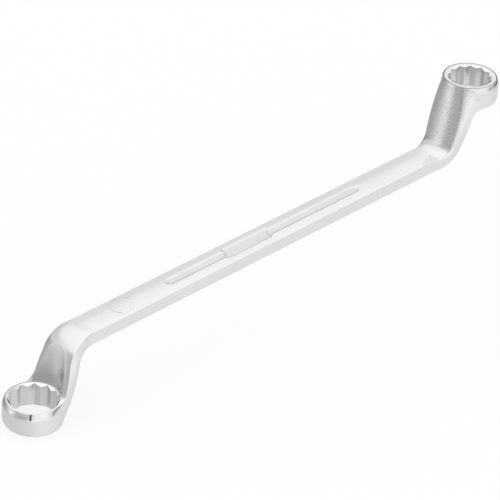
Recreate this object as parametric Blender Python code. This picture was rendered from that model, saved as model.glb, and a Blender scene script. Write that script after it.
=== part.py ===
"""Deep-offset double ring spanner, 22 mm and 20 mm, drop forged in one piece.

The forging is one loft. Its sections start at the outer face of one head, run down the
head and the inclined neck, turn through the bend into the straight shank, and leave the
shank the same way at the other end, turned half round about the width axis. The twelve-point
bores, their lead-ins, the spot faces that clear the neck and the two sunk panels are cut
from it, and the round pad is raised on it.

World axes, in metres: X runs along the spanner from the large head to the small one, Y is
its width and Z is the axis of both bores. The outer face of the large head lies on Z = 0.
"""

import math
from typing import NamedTuple, Sequence

import bmesh
import bpy
from mathutils import Matrix, Vector

# Whole spanner
OVERALL_LENGTH = 0.3156
SHANK_RISE = math.radians(4.0)
NECK_ANGLE = math.radians(75.0)

# Large head, at the -X end. Both walls are measured at the bore's flats.
LARGE_BORE = 0.022
LARGE_BORE_TURN = math.radians(20.0)
LARGE_WALL = 0.00425
LARGE_DIAMETER = LARGE_BORE + 2 * LARGE_WALL
LARGE_HEIGHT = 0.0132
LARGE_OFFSET = 0.0369
LARGE_REACH = 0.0128
LARGE_RIM_RADIUS = 0.0070

# Small head, at the +X end
SMALL_BORE = 0.020
SMALL_BORE_TURN = math.radians(13.5)
SMALL_WALL = 0.0051
SMALL_DIAMETER = SMALL_BORE + 2 * SMALL_WALL
SMALL_HEIGHT = 0.0126
SMALL_OFFSET = 0.0386
SMALL_REACH = 0.0112
SMALL_RIM_RADIUS = 0.0035

# Rims: radius and turn of the barrel-shaped side's run-in, and radius of the edge at the face
OUTER_RIM_RADIUS = 0.0056
OUTER_RIM_LEAN = math.radians(33.0)
OUTER_RIM_EDGE = 0.0003
INNER_RIM_LEAN = math.radians(36.0)
INNER_RIM_EDGE = 0.0008

# Bores
POINT_COUNT = 12
LEAD_IN = 0.0002
INNER_LEAD_ANGLE = math.radians(45.0)
OUTER_LEAD_ANGLE = math.radians(24.0)
SPOT_FACE_MARGIN = 0.0002
SPOT_FACE_DEPTH = 0.0002
SPOT_FACE_DRAFT = math.radians(5.0)

# Shank section
SHANK_WIDTH = 0.0159
SHANK_EDGE_THICKNESS = 0.0066
SHANK_CROWN_RADIUS = 0.0340
SHANK_CORNER = 0.0005

# Bend and neck
BEND_RADIUS = 0.0117
NECK_THICKNESS = 0.0079
NECK_BACK_WIDTH = 0.0224
NECK_BACK_CROWN_RADIUS = 0.0220
NECK_BACK_CORNER = 0.0042
NECK_BACK_TUCK = 0.0007
NECK_FRONT_INSET = 0.0010
NECK_FRONT_WIDTH = NECK_BACK_WIDTH - NECK_FRONT_INSET
NECK_FRONT_CORNER = 0.0011

# The neck's foot, at the head's inner face
FOOT_FRONT_WIDTH = 0.0256
FOOT_BACK_INSET = 0.0012
FOOT_BACK_WIDTH = FOOT_FRONT_WIDTH - FOOT_BACK_INSET
FOOT_BACK_CROWN_RADIUS = 0.0210
FOOT_BACK_CORNER = 0.0062
FOOT_FILLET = 0.0050

# The neck's root, at the head's outer face, and how softly neck and head merge at each face
ROOT_FRONT_WIDTH = 0.0240
ROOT_BACK_INSET = 0.0008
ROOT_BACK_WIDTH = ROOT_FRONT_WIDTH - ROOT_BACK_INSET
ROOT_BACK_CROWN_RADIUS = 0.0160
ROOT_BACK_CORNER = 0.0090
INNER_MERGE = 0.0030
OUTER_MERGE = 0.0010

# Sunk panels and raised pad on the upper face of the shank, placed from its middle
STRIP_LENGTH = 0.1285
STRIP_WIDTH = 0.0064
STRIP_DEPTH = 0.0006
STRIP_WALL = 0.0015
STRIP_SHIFT = 0.0020
LABEL_LENGTH = 0.0310
LABEL_WIDTH = 0.0096
LABEL_DEPTH = 0.0011
LABEL_WALL = 0.0019
LABEL_SHIFT = -0.0093
LABEL_CORNER = 0.0022
LABEL_SLANT = math.radians(21.0)
PAD_DIAMETER = 0.0122
PAD_HEIGHT = 0.0003
PAD_SHIFT = -0.0899

# Cutting overrun, welding distance and facet counts
OVERRUN = 0.0010
MERGE = 0.000001
SHARP_ANGLE = math.radians(30.0)
SECTION_POINTS = 60
CROWN_POINTS_SHARE = 0.2
SPREAD_POWER = 0.8
BEND_STEPS = 9
NECK_STEPS = 7
FILLET_STEPS = 4
RIM_STEPS = 3
EDGE_STEPS = 2
HEAD_STEPS = 4
ROUND_STEPS = 72
PAD_RING_SHARES = (1.0, 0.7, 0.4, 0.1)
CORNER_STEPS = 6
SHANK_STEPS = 8

Point = tuple[float, float]
Ring = list[Vector]


class Rim(NamedTuple):
    """A head's rim: radius and turn of the side's run-in, and radius of the edge at the face."""

    radius: float
    lean: float
    edge: float


class Head(NamedTuple):
    """Sizes of one head and of its place beside the shank."""

    bore: float
    bore_turn: float
    diameter: float
    height: float
    offset: float
    reach: float
    inner_rim: Rim


class Flank(NamedTuple):
    """One broad side of a section: half width, height at its edge, crown and corner radius."""

    half: float
    edge: float
    crown: float
    corner: float


class Section(NamedTuple):
    """A forged section. Its back faces the inside of the bend, its front the outside."""

    back: Flank
    front: Flank


SHANK_HALF = SHANK_EDGE_THICKNESS / 2
NECK_HALF = NECK_THICKNESS / 2 / math.sin(NECK_ANGLE)

OUTER_RIM = Rim(OUTER_RIM_RADIUS, OUTER_RIM_LEAN, OUTER_RIM_EDGE)
LARGE_RIM = Rim(LARGE_RIM_RADIUS, INNER_RIM_LEAN, INNER_RIM_EDGE)
SMALL_RIM = Rim(SMALL_RIM_RADIUS, INNER_RIM_LEAN, INNER_RIM_EDGE)
LARGE_HEAD = Head(
    LARGE_BORE, LARGE_BORE_TURN, LARGE_DIAMETER, LARGE_HEIGHT, LARGE_OFFSET, LARGE_REACH, LARGE_RIM
)
SMALL_HEAD = Head(
    SMALL_BORE, SMALL_BORE_TURN, SMALL_DIAMETER, SMALL_HEIGHT, SMALL_OFFSET, SMALL_REACH, SMALL_RIM
)

SHANK_FLANK = Flank(SHANK_WIDTH / 2, SHANK_HALF, SHANK_CROWN_RADIUS, SHANK_CORNER)
SHANK = Section(SHANK_FLANK, SHANK_FLANK)
NECK = Section(
    Flank(NECK_BACK_WIDTH / 2, NECK_HALF - NECK_BACK_TUCK, NECK_BACK_CROWN_RADIUS, NECK_BACK_CORNER),
    Flank(NECK_FRONT_WIDTH / 2, NECK_HALF, SHANK_CROWN_RADIUS, NECK_FRONT_CORNER),
)
FOOT = Section(
    Flank(FOOT_BACK_WIDTH / 2, NECK_HALF, FOOT_BACK_CROWN_RADIUS, FOOT_BACK_CORNER),
    NECK.front._replace(half=FOOT_FRONT_WIDTH / 2),
)

PLANE = Vector((math.cos(SHANK_RISE), 0.0, -math.sin(SHANK_RISE)))
AXIS = Vector((math.sin(SHANK_RISE), 0.0, math.cos(SHANK_RISE)))
BEND = NECK_ANGLE - SHANK_RISE


def between(first: float, last: float, share: float) -> float:
    """Value that lies a given share of the way from one to another."""
    return first + (last - first) * share


def mix(flanks: Sequence[Flank], shares: Sequence[float]) -> Flank:
    """Flank made of shares of several others. The crown's share is of its curvature."""

    def total(values: Sequence[float]) -> float:
        return sum(value * share for value, share in zip(values, shares))

    return Flank(
        total([flank.half for flank in flanks]),
        total([flank.edge for flank in flanks]),
        1 / total([1 / flank.crown for flank in flanks]),
        total([flank.corner for flank in flanks]),
    )


def section_normals() -> list[float]:
    """Directions of the section's normals, set closer together on its two broad sides."""
    turns = [math.tau * index / SECTION_POINTS for index in range(SECTION_POINTS)]
    return [turn - CROWN_POINTS_SHARE * math.sin(2 * turn) for turn in turns]


def eased(share: float) -> float:
    """The share with a level start and a level end."""
    return share * share * (3 - 2 * share)


def crown_lean(flank: Flank) -> float:
    """Lean of a flank's normal where its crown runs into its corner."""
    return math.asin(min((flank.half - flank.corner) / (flank.crown - flank.corner), 1.0))


def crown_height(flank: Flank) -> float:
    """Height of the middle of a flank above the middle of the section."""
    return flank.edge + flank.crown * (1 - math.cos(crown_lean(flank)))


def flank_point(flank: Flank, lean: float) -> Point:
    """Point (across, out) of a flank where its normal leans sideways by an angle."""
    limit = crown_lean(flank)
    if lean <= limit:
        return flank.crown * math.sin(lean), flank.edge + flank.crown * (math.cos(lean) - math.cos(limit))
    return (
        flank.half - flank.corner * (1 - math.sin(lean)),
        flank.edge + flank.corner * (math.cos(lean) - math.cos(limit)),
    )


def side_normal(section: Section) -> float:
    """Turn from straight forward of the narrow side, which is tangent to both of its corners."""
    back, front = section
    rise = front.edge - front.corner * math.cos(crown_lean(front))
    rise += back.edge - back.corner * math.cos(crown_lean(back))
    out = front.half - front.corner - back.half + back.corner
    return math.atan2(out, rise) + math.acos((back.corner - front.corner) / math.hypot(out, rise))


def section_point(section: Section, normal: float) -> Point:
    """Point (across, forward) of a section whose normal is turned from straight forward."""
    lean = abs(math.remainder(normal, math.tau))
    side = math.copysign(1.0, math.sin(normal))
    if lean <= side_normal(section):
        across, out = flank_point(section.front, lean)
        return side * across, out
    across, out = flank_point(section.back, math.pi - lean)
    return side * across, -out


def head_point(section: Section, radius: float, centre: float, merge: float, normal: float) -> Point:
    """Point of the outline that wraps the neck's section and the head's circle together.

    Where the circle reaches out further than the section by less than the merging distance,
    the point lies between the two.
    """
    across, forward = section_point(section, normal)
    round_across = radius * math.sin(normal)
    round_forward = centre + radius * math.cos(normal)
    neck_reach = across * math.sin(normal) + forward * math.cos(normal)
    round_reach = radius + centre * math.cos(normal)
    share = eased(min(max((round_reach - neck_reach) / merge, 0.0), 1.0))
    return between(across, round_across, share), between(forward, round_forward, share)


def set_ring(middle: Vector, front: Vector, outline: Sequence[Point]) -> Ring:
    """An outline set at its middle, with its forward direction along a vector."""
    return [middle + front * forward + Vector((0.0, across, 0.0)) for across, forward in outline]


def head_centres(head: Head) -> tuple[Vector, Vector]:
    """Middles of the head's outer and inner face, measured from where its bend starts."""
    inner_z = head.offset - head.height * AXIS.z
    neck_z = inner_z - head.reach * PLANE.z
    neck_x = BEND_RADIUS * math.tan(BEND / 2) + neck_z / math.tan(BEND)
    inner = Vector((neck_x + head.reach * PLANE.x, 0.0, inner_z))
    return inner + AXIS * head.height, inner


def bend_middle(angle: float) -> Vector:
    """Point of the bent centre line after it has turned through an angle."""
    return Vector((BEND_RADIUS * math.sin(angle), 0.0, BEND_RADIUS * (1 - math.cos(angle))))


def bend_rings() -> list[Ring]:
    """Rings from the shank round the bend to the start of the neck."""
    rings = []
    for step in range(BEND_STEPS + 1):
        share = step / BEND_STEPS
        tilt = (math.pi / 2 - SHANK_RISE) * share
        spread = share**SPREAD_POWER
        section = Section(*(mix(flanks, (1 - spread, spread)) for flanks in zip(SHANK, NECK)))
        front = Vector((math.sin(tilt), 0.0, -math.cos(tilt)))
        rings.append(set_ring(bend_middle(BEND * share), front, [section_point(section, a) for a in NORMALS]))
    return rings


def neck_ends(head: Head) -> tuple[Vector, Vector]:
    """Ends of the neck's straight centre line: at the bend, and in the plane of the inner face."""
    return bend_middle(BEND), head_centres(head)[1] - PLANE * head.reach


def root_section(head: Head) -> Section:
    """Section of the neck's root, whose back is flush with the rim of the outer face."""
    back = Flank(ROOT_BACK_WIDTH / 2, 0.0, ROOT_BACK_CROWN_RADIUS, ROOT_BACK_CORNER)
    reach = head.diameter / 2 - rim_inward(OUTER_RIM) - head.reach + head.height / math.tan(NECK_ANGLE)
    return Section(
        back._replace(edge=reach - crown_height(back)), NECK.front._replace(half=ROOT_FRONT_WIDTH / 2)
    )


def neck_section(head: Head, height: float) -> Section:
    """Section of the neck, or of its run through the head, at a height above the inner face.

    It follows one even curve through the sections at the bend, the foot and the root.
    """
    start, end = neck_ends(head)
    below = (end - start).dot(AXIS)
    whole = below + head.height
    share = (height + below) / whole
    middle = below / whole
    neck = (1 - share) * (middle - share) / middle
    foot = share * (1 - share) / (middle * (1 - middle))
    shares = (neck, foot, 1 - neck - foot)
    return Section(*(mix(flanks, shares) for flanks in zip(NECK, FOOT, root_section(head))))


def foot_spread(head: Head, swell: float) -> list[Point]:
    """How far each point of the neck's foot moves towards the rim of the inner face."""
    foot = neck_section(head, 0.0)
    radius = head.diameter / 2 - rim_inward(head.inner_rim)
    spread = []
    for normal in NORMALS:
        across, forward = section_point(foot, normal)
        rim_across, rim_forward = head_point(foot, radius, head.reach, INNER_MERGE, normal)
        gap = math.hypot(rim_across - across, rim_forward - forward)
        share = swell / max(gap, swell, MERGE)
        spread.append((share * (rim_across - across), share * (rim_forward - forward)))
    return spread


def neck_rings(head: Head) -> list[Ring]:
    """Rings up the neck and round its fillet to the head's inner face."""
    start, end = neck_ends(head)
    below = (end - start).dot(AXIS)
    stops = [(between(-below, -FOOT_FILLET, step / NECK_STEPS), 0.0) for step in range(1, NECK_STEPS + 1)]
    for step in range(1, FILLET_STEPS + 1):
        angle = math.pi / 2 * step / FILLET_STEPS
        stops.append((FOOT_FILLET * (math.sin(angle) - 1), FOOT_FILLET * (1 - math.cos(angle))))
    rings = []
    for height, swell in stops:
        section = neck_section(head, height)
        outline = []
        for normal, (sideways, ahead) in zip(NORMALS, foot_spread(head, swell)):
            across, forward = section_point(section, normal)
            outline.append((across + sideways, forward + ahead))
        rings.append(set_ring(end + (end - start) * height / below, PLANE, outline))
    return rings


def rim_inward(rim: Rim) -> float:
    """How far a rim is rounded in at the face."""
    return rim.radius * (1 - math.cos(rim.lean)) + rim.edge * math.cos(rim.lean)


def rim_levels(rim: Rim) -> list[Point]:
    """Depths below the face, with how far the rim is rounded in at each, from the side inwards."""
    drop = rim.radius * math.sin(rim.lean) + rim.edge * (1 - math.sin(rim.lean))
    levels = []
    for step in range(RIM_STEPS):
        angle = rim.lean * step / RIM_STEPS
        levels.append((drop - rim.radius * math.sin(angle), rim.radius * (1 - math.cos(angle))))
    for step in range(EDGE_STEPS + 1):
        angle = between(rim.lean, math.pi / 2, step / EDGE_STEPS)
        levels.append((rim.edge * (1 - math.sin(angle)), rim_inward(rim) - rim.edge * math.cos(angle)))
    return levels


def head_levels(head: Head) -> list[Point]:
    """Heights above the inner face, with how far the rim is rounded in at each."""
    inner = rim_levels(head.inner_rim)
    outer = rim_levels(OUTER_RIM)
    lowest = inner[0][0]
    straight = head.height - lowest - outer[0][0]
    levels = inner[::-1]
    for step in range(1, HEAD_STEPS):
        levels.append((lowest + straight * step / HEAD_STEPS, 0.0))
    return levels + [(head.height - depth, inward) for depth, inward in outer]


def head_rings(head: Head) -> list[Ring]:
    """Rings of the head from its inner to its outer face."""
    foot = neck_ends(head)[1]
    rings = []
    for height, inward in head_levels(head):
        share = height / head.height
        shift = height / math.tan(NECK_ANGLE)
        section = neck_section(head, height)
        radius = head.diameter / 2 - inward
        merge = between(INNER_MERGE, OUTER_MERGE, share)
        outline = [head_point(section, radius, head.reach - shift, merge, a) for a in NORMALS]
        rings.append(set_ring(foot + AXIS * height + PLANE * shift, PLANE, outline))
    return rings


def end_rings(head: Head) -> list[Ring]:
    """Rings of one end, from the start of its bend to the outer face of its head.

    X runs along the shank towards the head, Z towards the side on which the head stands,
    and the origin is on the shank's centre line where the bend starts.
    """
    return bend_rings() + neck_rings(head) + head_rings(head)


NORMALS = section_normals()
SMALL_FACE = head_centres(SMALL_HEAD)[0]
LARGE_FACE = head_centres(LARGE_HEAD)[0]
AXIS_SPAN = OVERALL_LENGTH - (LARGE_DIAMETER + SMALL_DIAMETER) / 2
FACE_SPAN = (AXIS_SPAN + (SMALL_OFFSET + LARGE_OFFSET) * math.sin(SHANK_RISE)) / math.cos(SHANK_RISE)
SHANK_LENGTH = FACE_SPAN - SMALL_FACE.x - LARGE_FACE.x
FACE_RISE = (AXIS_SPAN * math.sin(SHANK_RISE) + SMALL_OFFSET + LARGE_OFFSET) / math.cos(SHANK_RISE)
SHANK_TOP = crown_height(SHANK_FLANK)
LARGE_PLACE = Vector(((LARGE_DIAMETER - OVERALL_LENGTH) / 2, 0.0, 0.0))
SMALL_PLACE = LARGE_PLACE + Vector((AXIS_SPAN, 0.0, FACE_RISE))


def shank_to_world() -> Matrix:
    """Matrix from the shank's own axes, with their origin at its middle, to the world's."""
    turn = Matrix.Rotation(-SHANK_RISE, 4, "Y")
    face = Vector((-SHANK_LENGTH / 2 - LARGE_FACE.x, 0.0, -LARGE_FACE.z))
    return Matrix.Translation(LARGE_PLACE - turn @ face) @ turn


def forging_rings() -> list[Ring]:
    """All rings of the loft in the shank's axes, from the large head to the small one."""
    half = SECTION_POINTS // 2
    reach = Vector((SHANK_LENGTH / 2, 0.0, 0.0))
    small = [[point + reach for point in ring] for ring in end_rings(SMALL_HEAD)]
    large = []
    for ring in end_rings(LARGE_HEAD):
        turned = [Vector((-SHANK_LENGTH / 2 - point.x, point.y, -point.z)) for point in ring]
        large.append([turned[(half - index) % SECTION_POINTS] for index in range(SECTION_POINTS)])
    straight = []
    for step in range(1, SHANK_STEPS):
        straight.append([a.lerp(b, step / SHANK_STEPS) for a, b in zip(large[0], small[0])])
    return large[::-1] + straight + small


def new_object(name: str, bm: bmesh.types.BMesh, collection: bpy.types.Collection) -> bpy.types.Object:
    """Object made from a bmesh, with its faces turned outwards, linked to a collection."""
    bmesh.ops.recalc_face_normals(bm, faces=bm.faces)
    mesh = bpy.data.meshes.new(name)
    bm.to_mesh(mesh)
    bm.free()
    obj = bpy.data.objects.new(name, mesh)
    collection.objects.link(obj)
    return obj


def skinned(outlines: Sequence[Sequence[Vector]]) -> bmesh.types.BMesh:
    """Closed solid through outlines of equal point counts, capped at both ends."""
    bm = bmesh.new()
    rings = [[bm.verts.new(point) for point in outline] for outline in outlines]
    for lower, upper in zip(rings, rings[1:]):
        for index, corner in enumerate(lower):
            after = (index + 1) % len(lower)
            bm.faces.new((corner, lower[after], upper[after], upper[index]))
    bm.faces.new(rings[0][::-1])
    bm.faces.new(rings[-1])
    return bm


def forging(collection: bpy.types.Collection) -> bpy.types.Object:
    """The forging before it is machined. Where the neck runs into a head, its rings touch."""
    bm = skinned(forging_rings())
    bmesh.ops.remove_doubles(bm, verts=bm.verts, dist=MERGE)
    bmesh.ops.dissolve_degenerate(bm, edges=bm.edges, dist=MERGE)
    bmesh.ops.transform(bm, matrix=shank_to_world(), verts=bm.verts)
    return new_object("ring_spanner", bm, collection)


def bore_star(
    name: str, head: Head, place: Vector, sense: float, cutters: bpy.types.Collection
) -> bpy.types.Object:
    """Twelve-point cutter: the outline of two hexagons, one turned by half a point."""
    tip = head.bore / 2 / math.cos(math.pi / 6)
    valley = head.bore / 2 / math.cos(math.pi / POINT_COUNT)
    outlines = []
    for height in (-OVERRUN, head.height + OVERRUN):
        outline = []
        for index in range(2 * POINT_COUNT):
            angle = head.bore_turn + math.pi * index / POINT_COUNT
            radius = valley if index % 2 else tip
            outline.append(Vector((radius * math.cos(angle), radius * math.sin(angle), sense * height)))
        outlines.append(outline)
    star = new_object(name, skinned(outlines), cutters)
    star.location = place
    return star


def bore_mouths(
    name: str, head: Head, place: Vector, sense: float, cutters: bpy.types.Collection
) -> bpy.types.Object:
    """Turned cutter: a lead-in at each end of the bore, and the drafted spot face in the neck."""
    core = head.bore / 2
    mouth = core / math.cos(math.pi / 6) + LEAD_IN
    seat = head.height - SPOT_FACE_DEPTH
    spot = mouth + SPOT_FACE_MARGIN
    clear = head.offset + SHANK_HALF
    profile = [
        (0.0, -OVERRUN),
        (mouth + OVERRUN / math.tan(OUTER_LEAD_ANGLE), -OVERRUN),
        (core, (mouth - core) * math.tan(OUTER_LEAD_ANGLE)),
        (core, seat - (mouth - core) * math.tan(INNER_LEAD_ANGLE)),
        (mouth, seat),
        (spot, seat),
        (spot + (clear - seat) * math.tan(SPOT_FACE_DRAFT), clear),
        (0.0, clear),
    ]
    bm = bmesh.new()
    turn = Matrix.Rotation(head.bore_turn + math.pi / ROUND_STEPS, 3, "Z")
    corners = [bm.verts.new(turn @ Vector((radius, 0.0, sense * height))) for radius, height in profile]
    edges = [bm.edges.new(pair) for pair in zip(corners, corners[1:])]
    bmesh.ops.spin(
        bm, geom=corners + edges, cent=(0.0, 0.0, 0.0), axis=(0.0, 0.0, 1.0),
        angle=math.tau, steps=ROUND_STEPS, use_merge=True,
    )
    bmesh.ops.remove_doubles(bm, verts=bm.verts, dist=MERGE)
    mouths = new_object(name, bm, cutters)
    mouths.location = place
    return mouths


def rounded_outline(core: Sequence[Point], radius: float, height: float) -> list[Vector]:
    """Outline at one distance all round a convex core, listed anticlockwise."""
    outline = []
    for index, corner in enumerate(core):
        before = core[index - 1]
        after = core[(index + 1) % len(core)]
        start = math.atan2(corner[1] - before[1], corner[0] - before[0]) - math.pi / 2
        turn = math.atan2(after[1] - corner[1], after[0] - corner[0]) - math.pi / 2 - start
        turn = turn % math.tau
        for step in range(CORNER_STEPS + 1):
            angle = start + turn * step / CORNER_STEPS
            outline.append(
                Vector((corner[0] + radius * math.cos(angle), corner[1] + radius * math.sin(angle), height))
            )
    return outline


def panel_cutter(
    name: str, core: Sequence[Point], radius: float, depth: float, wall: float, cutters: bpy.types.Collection
) -> bpy.types.Object:
    """Cutter of a sunk panel whose walls slope in by a given width over its depth."""
    floor = SHANK_TOP - depth
    spread = wall / depth * OVERRUN
    outlines = [
        rounded_outline(core, radius - wall, floor),
        rounded_outline(core, radius + spread, SHANK_TOP + OVERRUN),
    ]
    panel = new_object(name, skinned(outlines), cutters)
    panel.matrix_world = shank_to_world()
    return panel


def strip_core() -> list[Point]:
    """Core of the long strip panel: the line between the centres of its round ends."""
    half = (STRIP_LENGTH - STRIP_WIDTH) / 2
    return [(STRIP_SHIFT - half, 0.0), (STRIP_SHIFT + half, 0.0)]


def label_core() -> list[Point]:
    """Core of the label panel: a parallelogram with slanted ends."""
    side = LABEL_WIDTH / 2 - LABEL_CORNER
    half = LABEL_LENGTH / 2 - LABEL_CORNER
    lean = side * math.tan(LABEL_SLANT)
    return [
        (LABEL_SHIFT - half - lean, -side),
        (LABEL_SHIFT + half - lean, -side),
        (LABEL_SHIFT + half + lean, side),
        (LABEL_SHIFT - half + lean, side),
    ]


def pad_ring(share: float) -> list[Vector]:
    """Ring of the pad's top, which runs parallel to the shank's crown."""
    crown = SHANK_CROWN_RADIUS + PAD_HEIGHT
    radius = share * PAD_DIAMETER / 2
    ring = []
    for index in range(ROUND_STEPS):
        angle = math.tau * index / ROUND_STEPS
        across = radius * math.sin(angle)
        height = SHANK_TOP - SHANK_CROWN_RADIUS + math.sqrt(crown**2 - across**2)
        ring.append(Vector((PAD_SHIFT + radius * math.cos(angle), across, height)))
    return ring


def raised_pad(cutters: bpy.types.Collection) -> bpy.types.Object:
    """Round pad that stands on the shank's upper face, near the large head."""
    tops = [pad_ring(share) for share in PAD_RING_SHARES]
    bottom = [Vector((point.x, point.y, 0.0)) for point in tops[0]]
    pad = new_object("pad_blank", skinned([bottom, *tops]), cutters)
    pad.matrix_world = shank_to_world()
    return pad


def apply_tool(body: bpy.types.Object, tool: bpy.types.Object, operation: str) -> None:
    """Joins a tool solid to the body, or cuts it out, with an exact Boolean."""
    modifier = body.modifiers.new(tool.name, "BOOLEAN")
    modifier.operation = operation
    modifier.solver = "EXACT"
    modifier.object = tool
    tool.hide_render = True
    tool.display_type = "WIRE"


def chrome() -> bpy.types.Material:
    """Satin chrome plate on steel."""
    material = bpy.data.materials.new("satin_chrome")
    material.use_nodes = True
    shader = material.node_tree.nodes["Principled BSDF"]
    shader.inputs["Base Color"].default_value = (0.78, 0.79, 0.80, 1.0)
    shader.inputs["Metallic"].default_value = 1.0
    shader.inputs["Roughness"].default_value = 0.25
    return material


def main() -> None:
    """Builds the spanner in a cleared scene."""
    for obj in list(bpy.data.objects):
        bpy.data.objects.remove(obj, do_unlink=True)
    parts = bpy.data.collections.new("ring_spanner")
    cutters = bpy.data.collections.new("cutters")
    for collection in (parts, cutters):
        bpy.context.scene.collection.children.link(collection)

    spanner = forging(parts)
    strip_radius = STRIP_WIDTH / 2
    apply_tool(spanner, raised_pad(cutters), "UNION")
    tools = [
        panel_cutter("strip_cutter", strip_core(), strip_radius, STRIP_DEPTH, STRIP_WALL, cutters),
        panel_cutter("label_cutter", label_core(), LABEL_CORNER, LABEL_DEPTH, LABEL_WALL, cutters),
        bore_mouths("large_mouths", LARGE_HEAD, LARGE_PLACE, 1.0, cutters),
        bore_star("large_star", LARGE_HEAD, LARGE_PLACE, 1.0, cutters),
        bore_mouths("small_mouths", SMALL_HEAD, SMALL_PLACE, -1.0, cutters),
        bore_star("small_star", SMALL_HEAD, SMALL_PLACE, -1.0, cutters),
    ]
    for tool in tools:
        apply_tool(spanner, tool, "DIFFERENCE")

    spanner.data.materials.append(chrome())
    spanner.data.shade_smooth()
    spanner.data.set_sharp_from_angle(angle=SHARP_ANGLE)


main()
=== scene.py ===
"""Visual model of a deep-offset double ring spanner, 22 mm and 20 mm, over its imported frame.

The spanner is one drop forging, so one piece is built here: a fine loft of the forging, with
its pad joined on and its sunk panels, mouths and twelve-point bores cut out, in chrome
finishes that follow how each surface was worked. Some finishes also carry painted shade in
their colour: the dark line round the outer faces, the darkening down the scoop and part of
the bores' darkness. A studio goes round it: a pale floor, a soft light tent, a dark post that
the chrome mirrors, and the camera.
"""

import logging
import math
from dataclasses import dataclass, replace
from enum import Enum, IntEnum

import bmesh
import bpy
from mathutils import Matrix, Vector


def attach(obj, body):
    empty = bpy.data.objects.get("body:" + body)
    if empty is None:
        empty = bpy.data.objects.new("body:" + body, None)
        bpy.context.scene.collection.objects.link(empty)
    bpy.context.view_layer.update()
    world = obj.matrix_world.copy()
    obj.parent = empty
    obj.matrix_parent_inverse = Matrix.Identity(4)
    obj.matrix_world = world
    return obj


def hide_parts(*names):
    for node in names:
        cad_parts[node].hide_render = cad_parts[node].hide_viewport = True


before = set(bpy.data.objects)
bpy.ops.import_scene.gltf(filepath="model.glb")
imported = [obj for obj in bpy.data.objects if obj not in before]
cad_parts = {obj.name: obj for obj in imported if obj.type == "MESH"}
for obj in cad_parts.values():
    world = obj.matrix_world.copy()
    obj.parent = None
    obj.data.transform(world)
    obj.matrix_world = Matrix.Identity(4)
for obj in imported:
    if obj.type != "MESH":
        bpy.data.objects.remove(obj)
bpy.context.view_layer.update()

LOG = logging.getLogger("ring_spanner")

Point = tuple[float, float]
Colour = tuple[float, float, float, float]
Ring = list[Vector]
BMesh = bmesh.types.BMesh
Object = bpy.types.Object
Socket = bpy.types.NodeSocket

MM = 0.001
# Points closer than this are one point.
WELD = 0.001 * MM
# How far a cutter stands out of the face that it cuts.
OVERRUN = 1.0 * MM
# Share of the way from a hexagon's middle to its corners at which its flats lie.
HEXAGON = math.cos(math.pi / 6)
FULL_TURN = 360.0
ZENITH = 90.0
BLACK: Colour = (0.0, 0.0, 0.0, 1.0)
WHITE: Colour = (1.0, 1.0, 1.0, 1.0)
# Vertex layer that says where the skin was ground.
GROUND = "ground"


class Sense(Enum):
    """Which way a head's inner face looks from its outer face."""

    UP = 1.0
    DOWN = -1.0


class Cut(Enum):
    """How a tool solid is applied to the forging."""

    JOIN = "UNION"
    REMOVE = "DIFFERENCE"


class BlankSlot(IntEnum):
    """Material slots of the unmachined forging, whose skin wears the first one, 0."""

    FACE = 1
    # Painted shade: the dark line round the outer faces.
    PAINTED_RIM_SHADE = 2


class MouthSlot(IntEnum):
    """Material slots of a mouth's cutter, whose lead-ins and seat wear the first one, 0."""

    CLEARED_WALL = 1


# Finishes


@dataclass(frozen=True)
class Pattern:
    """A noise that draws one kind of mark.

    Attributes:
        detail: Number of its finer layers.
        roughness: Strength of its finer layers.
        start: Noise level where the marks start.
        full: Noise level where they are full.
    """

    detail: float
    roughness: float
    start: float = 0.0
    full: float = 1.0


BELT_MARKS = Pattern(4.0, 0.6)
CLOUDS = Pattern(3.0, 0.5, 0.35, 0.65)
PITS = Pattern(2.0, 0.6, 0.46, 0.72)
FLECKS = Pattern(2.0, 0.5)
CLOUDS_PER_METRE = 70.0
# Share of its brightness that the plate keeps where it is cloudiest.
CLOUD_DULLING = 0.975
PIT_COLOUR: Colour = (0.12, 0.12, 0.125, 1.0)


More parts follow.
